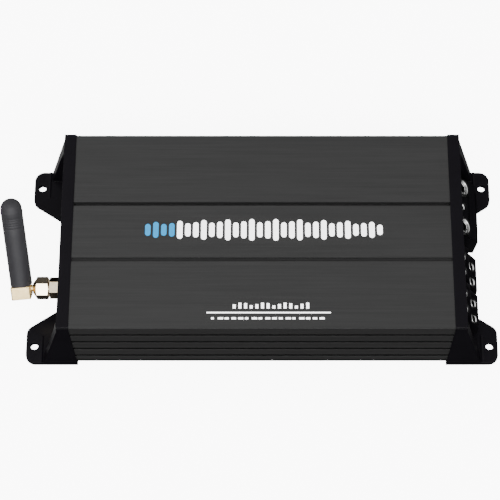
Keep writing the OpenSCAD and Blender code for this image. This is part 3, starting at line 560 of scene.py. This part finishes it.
def make_floor():
    """A pale floor that curves up into a wall all round.

    Only the camera sees it, so it doesn't wash out the body.
    """
    bends = [math.radians(90) * i / BEND_STEPS for i in range(BEND_STEPS + 1)]
    flat_r = FLOOR_R - FLOOR_BEND_R
    section = [(flat_r + FLOOR_BEND_R * math.sin(a), FLOOR_BEND_R * (1 - math.cos(a)) - FLOOR_DROP)
               for a in bends]
    section.append((FLOOR_R, WALL_H))
    bm = bmesh.new()
    loops = [[bm.verts.new(ring_point(r / MM, z / MM, i, FLOOR_STEPS)) for i in range(FLOOR_STEPS)]
             for r, z in section]
    bm.faces.new(loops[0])
    for low, high in zip(loops, loops[1:]):
        bridge(bm, low[::-1], high[::-1])
    mesh = bpy.data.meshes.new("floor")
    bm.to_mesh(mesh)
    bm.free()
    mesh.shade_smooth()
    floor = bpy.data.objects.new("floor", mesh)
    bpy.context.scene.collection.objects.link(floor)
    mesh.materials.append(floor_paper())
    floor.visible_glossy = False
    floor.visible_diffuse = False
    floor.visible_transmission = False
    floor.visible_shadow = False


# A socket screw's sizes in mm: its shank's radius and how far it reaches, its head's radius, bottom and top,
# the width of the head's rounded rim, and its socket's width across flats and depth
Screw = namedtuple("Screw", "shank reach radius low high rim width depth")
POWER_SCREW = Screw(3.0, 12.0, 6.15, -2.7, 0.2, 1.5, 5.0, 2.4)
REMOTE_SCREW = Screw(1.5, 15.4, 2.6, -2.0, -0.7, 0.5, 3.1, 0.9)
LOW_SPEAKER_SCREW = Screw(1.5, 10.9, 3.35, -1.7, 0.0, 0.8, 3.9, 1.3)
HIGH_SPEAKER_SCREW = Screw(1.5, 8.1, 3.25, -1.7, -0.6, 0.6, 3.9, 0.8)
# A head's small bevels, and how far its rim and its socket's mouth fall, for the width of the rim
BEVEL_MM, RIM_FALL, MOUTH_FALL = 0.15, 0.3, 0.35
# A head with a rim over WIDE_RIM_MM has a groove and a collar, whose radius is in proportion to the socket
WIDE_RIM_MM, GROOVE_MM, COLLAR_R = 1, 1.6, 0.71
RIM_STEPS, SCREW_SHARP_DEG = 10, 38
SPEAKER_SCREWS, LOW_ROW_SCREWS = 8, 4


def head_rings(size):
    """A screw's shank, and its head up to the inner edge of its rounded rim."""
    shoulder = size.high - size.rim * RIM_FALL
    rings = [(size.shank * 0.8, -size.reach), (size.shank, -size.reach + size.shank * 0.25)]
    rings += [(size.shank, size.low - 0.2), (size.shank + 0.2, size.low)]
    rings += [(size.radius - BEVEL_MM, size.low), (size.radius, size.low + BEVEL_MM)]
    rings.append((size.radius, shoulder))
    crest = size.radius - size.rim / 2
    angles = [math.pi * i / RIM_STEPS for i in range(1, RIM_STEPS)]
    rings += [(crest + size.rim / 2 * math.cos(a), size.high - size.rim * RIM_FALL * (1 - math.sin(a)))
              for a in angles]
    return rings


def collar_rings(size):
    """The groove inside a wide rim, and the raised collar round the socket."""
    inner, collar, top = size.radius - size.rim, size.width * COLLAR_R, size.high
    floor = top - GROOVE_MM
    rings = [(inner, floor + 0.1), (inner - BEVEL_MM, floor), (collar, floor)]
    return rings + [(collar - 0.1, top - 0.45), (collar - 0.35, top - 0.25), (collar - 0.7, top - 0.3)]


def make_clamp_screw(name, node, joint_name, size):
    """A socket screw on its joint's axis, with a near-black sheet in its hexagonal socket as painted shade."""
    joint = JOINTS[joint_name]
    collared = size.rim > WIDE_RIM_MM
    mouth = size.high - (MOUTH_FALL if collared else size.rim * MOUTH_FALL)
    floor = size.high - size.depth
    width = size.width
    rings = head_rings(size)
    if collared:
        rings += collar_rings(size)
    rings += [(hexagon(width + 2 * BEVEL_MM), mouth), (hexagon(width), mouth - BEVEL_MM)]
    rings += [(hexagon(width), floor), (hexagon(width * 0.4), floor - 0.25)]
    place = on_joint(joint)
    screw = add_piece(name, turned(rings), "screw_nickel", joint["child"], place, sharp_deg=SCREW_SHARP_DEG)
    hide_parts(node)
    # Painted shade: a near-black sheet just inside the socket's walls
    shade_rings = [(hexagon(width - 0.04), floor - 0.1), (hexagon(width - 0.04), mouth - 0.16)]
    shade_rings += [(hexagon(width - 0.3), mouth - 0.22), (hexagon(width - 0.5), floor + 0.12)]
    add_piece(name + "_socket", turned(shade_rings), "black_steel", joint["child"], place, SOCKET_SHADE,
              SCREW_SHARP_DEG)


def make_terminal_screws():
    for name in ("battery", "ground"):
        make_clamp_screw(f"{name}_screw_head", f"{name}_clamp_screw", f"{name}_screw_turn", POWER_SCREW)
    make_clamp_screw("remote_screw_head", "remote_clamp_screw", "remote_screw_turn", REMOTE_SCREW)
    for i in range(1, SPEAKER_SCREWS + 1):
        size = LOW_SPEAKER_SCREW if i <= LOW_ROW_SCREWS else HIGH_SPEAKER_SCREW
        make_clamp_screw(f"speaker_screw_head_{i}", f"speaker_screw_{i}", f"terminal_screw_{i}_turn", size)


# The antenna's rubber sleeve: its radius, how far its ends lie from the joint, and the rings of its hollow
# foot, by radius and height over that end
SLEEVE_R_MM, SLEEVE_FOOT_MM, SLEEVE_TIP_MM = 6.5, 2.1, 56.0
SLEEVE_FOOT_RINGS_MM = ((4.0, 1.0), (5.3, 0.05), (5.75, 0.0), (SLEEVE_R_MM, 0.35))
# Its fine grooves: their distances from the tip, their depth, and half their width at the surface and below,
# with a plain ring before them
GRIP_MARKS_MM, GRIP_DEPTH_MM = (17.4, 15.7, 14.3, 12.8, 11.6), 0.11
GRIP_MOUTH_MM, GRIP_FLOOR_MM = 0.33, 0.12
GRIP_START_MM = 22
# The low bead over the grooves, by its height and distance from the tip, and the dome
BEAD_MM = ((0, 9.2), (0.12, 8.5), (0.12, 7.9), (-0.08, 7.2))
DOME_GAP_MM, DOME_ARC_DEG, DOME_STEPS = 0.06, (8, 86), 14


def antenna_axis():
    """The antenna's own direction, from its joint to the far corner of its box."""
    low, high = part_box("antenna_sleeve")
    pivot = Vector(JOINTS["antenna_swing"]["pos_m"])
    r = SLEEVE_R_MM * MM
    tip = Vector((low.x + r, high.y - r, high.z - r))
    return (tip - pivot).normalized()


def make_antenna():
    joint = JOINTS["antenna_swing"]
    turn = antenna_axis().to_track_quat("Z", "Y").to_matrix().to_4x4()
    low, tip, r = SLEEVE_FOOT_MM, SLEEVE_TIP_MM, SLEEVE_R_MM
    rings = [(radius, low + height) for radius, height in SLEEVE_FOOT_RINGS_MM]
    rings.append((r, tip - GRIP_START_MM))
    for mark in GRIP_MARKS_MM:
        floor_r = r - GRIP_DEPTH_MM
        rings += [(r, tip - mark - GRIP_MOUTH_MM), (floor_r, tip - mark - GRIP_FLOOR_MM)]
        rings += [(floor_r, tip - mark + GRIP_FLOOR_MM), (r, tip - mark + GRIP_MOUTH_MM)]
    rings += [(r + swell, tip - back) for swell, back in BEAD_MM]
    rings += arc((0, tip - r), r - DOME_GAP_MM, *DOME_ARC_DEG, DOME_STEPS)
    sleeve = add_piece("antenna_sleeve_skin", turned(rings, 64), "antenna_rubber", joint["child"],
                       Matrix.Translation(joint["pos_m"]) @ turn, sharp_deg=50)
    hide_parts("antenna_sleeve")


# The two nuts: their widths across flats, how far the first tapers, how each is turned, and the washer's
# radius and thickness
NUT_FLATS_MM, NUT_TAPER_MM, NUT_TURN_DEG = 11.9, 2.0, 5
LOCK_NUT_FLATS_MM, LOCK_NUT_TURN_DEG = 11.2, -8
WASHER_R_MM, WASHER_MM = 6.6, 0.6
THREAD_R_MM, NUT_SHARP_DEG = 3.2, 22
# The cut corners of both nuts: how much wider than the corner the cut is, how far it reaches, and its steps
CUT_EXCESS, CUT_REACH, CUT_STEPS = 1.1, 0.6, 4


def outwards(x, y, z, turn_deg=0):
    """A frame with its Z along -X and its X upright, turned about its Z as the object's own nuts are."""
    axes = Matrix(((0, 0, -1), (0, 1, 0), (1, 0, 0))).to_4x4()
    return Matrix.Translation((x, y, z)) @ Matrix.Rotation(math.radians(turn_deg), 4, "X") @ axes


def chamfered_hexagon(flats, low, high, bite):
    """Rings of a hexagonal bar whose corners are turned down at both ends."""
    shape = hexagon(flats)
    widest = flats / 2 / math.cos(math.radians(30))
    corner = (widest - flats / 2) * CUT_EXCESS
    cuts = [(bite * CUT_REACH * k / CUT_STEPS, corner * (1 - k / CUT_STEPS)) for k in range(CUT_STEPS + 1)]
    rings = [(trimmed(shape, widest - cut), low + back) for back, cut in cuts]
    rings += [(trimmed(shape, widest - cut), high - back) for back, cut in reversed(cuts)]
    return rings


def make_antenna_nut():
    joint = JOINTS["antenna_nut_spin"]
    low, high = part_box("antenna_nut")
    _, y, z = joint["pos_m"]
    length = (high.x - low.x) / MM
    shoulder = length - NUT_TAPER_MM
    flat_r = NUT_FLATS_MM / 2
    rings = [(THREAD_R_MM, 0.7), (3.5, 0.0), (flat_r - 0.4, 0.0)]
    rings += chamfered_hexagon(NUT_FLATS_MM, 0.1, shoulder, 0.7)
    rings += [(flat_r - 0.3, shoulder + 0.1), (3.4, length - 0.25), (3.1, length), (2.3, length)]
    rings.append((2.2, length - 0.8))
    nut = add_piece("antenna_nut_skin", turned(rings), "gold_plate", joint["child"],
                    outwards(high.x, y, z, NUT_TURN_DEG), sharp_deg=NUT_SHARP_DEG)
    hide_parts("antenna_nut")


def make_lock_nut():
    low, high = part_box("sma_lock_nut")
    _, y, z = JOINTS["antenna_nut_spin"]["pos_m"]
    length = (high.x - low.x) / MM
    flat_r = LOCK_NUT_FLATS_MM / 2
    rings = [(THREAD_R_MM, 0.2), (3.4, 0.0), (WASHER_R_MM - 0.1, 0.0), (WASHER_R_MM, 0.1)]
    rings += [(WASHER_R_MM, WASHER_MM - 0.1), (WASHER_R_MM - 0.1, WASHER_MM), (flat_r - 0.5, WASHER_MM)]
    rings += chamfered_hexagon(LOCK_NUT_FLATS_MM, WASHER_MM + 0.1, length - 0.1, 0.5)
    rings += [(flat_r - 0.4, length), (3.6, length), (THREAD_R_MM, length - 0.4)]
    nut = add_piece("sma_lock_nut_skin", turned(rings), "gold_plate",
                    place=outwards(high.x, y, z, LOCK_NUT_TURN_DEG), sharp_deg=NUT_SHARP_DEG)
    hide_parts("sma_lock_nut")


# Printed marks lie from just under a face to just over it
PRINT_LOW, PRINT_HIGH = -0.02 * MM, 0.05 * MM

# The waveform on the top: how many bars, how many of them blue, where it begins, and the bars' spacing,
# width and greatest length
BARS, BLUE_BARS = 30, 4
WAVE_START_MM, BAR_PITCH_MM, BAR_W_MM, BAR_MM = -69.5, 4.76, 3.3, 14.7

# The rule near the front edge, with short bars over it and dashes under it
RULE_X_MM, RULE_Y_MM = (-32.3, 40.2), (-55.25, -54.45)
LEVELS, LEVEL_START_MM, LEVEL_FOOT_MM, LEVEL_PITCH_MM, LEVEL_W_MM = 14, -17, -52.2, 3.3, 1.7
DASHES, DASH_START_MM, DASH_PITCH_MM, DASH_Y_MM = 17, -29.6, 3.95, (-59.2, -57.9)


def block_mark(bm, x_mm, y_mm, low, high):
    """An upright rectangle between two X values and two Y values in millimetres."""
    slab(bm, box_outline(x_mm[0] * MM, x_mm[1] * MM, y_mm[0] * MM, y_mm[1] * MM), low, high)


def make_waveform(low, high):
    """A row of upright bars whose lengths swell to the middle and beat along the way."""
    white, blue = bmesh.new(), bmesh.new()
    for i in range(BARS):
        swell = 0.7 + 0.3 * math.sin(math.pi * i / (BARS - 1))
        beat = 0.5 + 0.5 * abs(math.sin(1.05 * i + 0.6))
        x = (WAVE_START_MM + BAR_W_MM / 2 + i * BAR_PITCH_MM) * MM
        outline = bar_outline(x, 0, BAR_W_MM * MM, BAR_MM * swell * beat * MM)
        slab(blue if i < BLUE_BARS else white, outline, low, high)
    add_piece("top_waveform_print", white, "cap_plastic", material=INK)
    add_piece("top_accent_print", blue, "cap_plastic", material=BLUE_INK)


def make_rule(low, high):
    bm = bmesh.new()
    block_mark(bm, RULE_X_MM, RULE_Y_MM, low, high)
    for i in range(LEVELS):
        x = LEVEL_START_MM + i * LEVEL_PITCH_MM
        height = 1.6 + 2.2 * abs(math.sin(0.8 * i + 0.5))
        block_mark(bm, (x, x + LEVEL_W_MM), (LEVEL_FOOT_MM, LEVEL_FOOT_MM + height), low, high)
    for i in range(DASHES):
        x = DASH_START_MM + i * DASH_PITCH_MM
        length = 1.6 + 1.5 * abs(math.sin(1.3 * i))
        block_mark(bm, (x, x + length), DASH_Y_MM, low, high)
    add_piece("top_rule_print", bm, "cap_plastic", material=INK)


def make_top_print():
    """Generic marks in place of any name."""
    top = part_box("heatsink_housing")[1].z
    make_waveform(top + PRINT_LOW, top + PRINT_HIGH)
    make_rule(top + PRINT_LOW, top + PRINT_HIGH)


def tick_outline(x, y, angle, near, far, width):
    """A short bar that points away from (x, y), from one distance to another."""
    out = Vector((math.cos(angle), math.sin(angle)))
    side = Vector((-out.y, out.x)) * width / 2
    start, stop = Vector((x, y)) + out * near, Vector((x, y)) + out * far
    return [start - side, stop - side, stop + side, start + side]


# The scale round each control: how many ticks, its travel each way, and where the ticks begin and end
KNOB_JOINTS = ("front_gain_turn", "rear_gain_turn", "crossover_turn", "bass_turn")
KNOB_TICKS, KNOB_TRAVEL_DEG = 11, 140
TICK_MM, LONG_TICK_MM, TICK_W_MM = (4.9, 5.6), (4.9, 6.0), 0.35


def make_panel_marks():
    """A scale of ticks round each control on the input panel, with longer ones at its ends and middle."""
    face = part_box("input_panel")[0].x
    last = KNOB_TICKS - 1
    bm = bmesh.new()
    for name in KNOB_JOINTS:
        _, y, z = JOINTS[name]["pos_m"]
        for i in range(KNOB_TICKS):
            angle = math.radians(KNOB_TRAVEL_DEG * (2 * i / last - 1))
            near, far = LONG_TICK_MM if i in (0, last / 2, last) else TICK_MM
            outline = tick_outline(z, y, angle, near * MM, far * MM, TICK_W_MM * MM)
            slab(bm, outline, PRINT_LOW, PRINT_HIGH)
    add_piece("input_panel_print", bm, "panel_steel", place=outwards(face, 0, 0), material=INK)


# The terminals' signs: how far over the block they sit, half their length, their width, and the dot's size
PLUS_JOINTS = ("battery_screw_turn", "terminal_screw_5_turn", "terminal_screw_7_turn")
MINUS_JOINTS = ("ground_screw_turn", "terminal_screw_6_turn", "terminal_screw_8_turn")
SIGN_LIFT_MM, SIGN_MM, SIGN_W_MM, DOT_MM = 3.6, 1.5, 0.7, 1.4


def make_terminal_marks():
    """Plus and minus signs over the terminals, and a dot over the small one between."""
    # The caps' end walls are as far out as each other, and the lock nut sits on one of them
    wall = -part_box("sma_lock_nut")[1].x
    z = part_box("power_terminal_block")[1].z + SIGN_LIFT_MM * MM
    half, width = SIGN_MM * MM, SIGN_W_MM * MM
    bm = bmesh.new()
    for name in PLUS_JOINTS + MINUS_JOINTS:
        y = JOINTS[name]["pos_m"][1]
        slab(bm, tick_outline(y, z, 0, -half, half, width), PRINT_LOW, PRINT_HIGH)
        if name in PLUS_JOINTS:
            for near, far in ((width / 2, half), (-half, -width / 2)):
                slab(bm, tick_outline(y, z, math.pi / 2, near, far, width), PRINT_LOW, PRINT_HIGH)
    y = JOINTS["remote_screw_turn"]["pos_m"][1]
    slab(bm, bar_outline(y, z, DOT_MM * MM, DOT_MM * MM), PRINT_LOW, PRINT_HIGH)
    axes = Matrix(((0, 0, 1), (1, 0, 0), (0, 1, 0))).to_4x4()
    place = Matrix.Translation((wall, 0, 0)) @ axes
    add_piece("output_cap_print", bm, "cap_plastic", place=place, material=INK)


# The dark strip under the body, painted shade that keeps the bright floor from showing through the notches: its
# thickness, its gap under the body, how far its ends lie past and before the end of the bottom plate, and its
# margins at the front and rear
SHADE_STRIP_MM, SHADE_STRIP_GAP_MM = 0.8, 0.05
SHADE_STRIP_PAST_MM, SHADE_STRIP_BEFORE_MM, SHADE_STRIP_MARGIN_MM = 1.6, 14, 10


def make_shade_strip():
    """A dark strip under the terminal blocks that closes the notches in the bottom plate: painted shade, so the
    bright floor doesn't show through them.
    """
    low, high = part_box("bottom_plate")
    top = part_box("heatsink_housing")[0].z - SHADE_STRIP_GAP_MM * MM
    margin = SHADE_STRIP_MARGIN_MM * MM
    outline = box_outline(high.x - SHADE_STRIP_BEFORE_MM * MM, high.x + SHADE_STRIP_PAST_MM * MM, low.y + margin,
                          high.y - margin)
    bm = bmesh.new()
    slab(bm, outline, top - SHADE_STRIP_MM * MM, top)
    add_piece("output_shade_strip", bm, "terminal_plastic")


make_camera()
make_lights()
make_floor()
for node in NODES:
    finish_node(node)
make_terminal_screws()
make_antenna()
make_antenna_nut()
make_lock_nut()
make_top_print()
make_panel_marks()
make_terminal_marks()
make_shade_strip()
for slot in NODES["antenna_elbow"].material_slots:
    slot.material = SATIN_BRASS
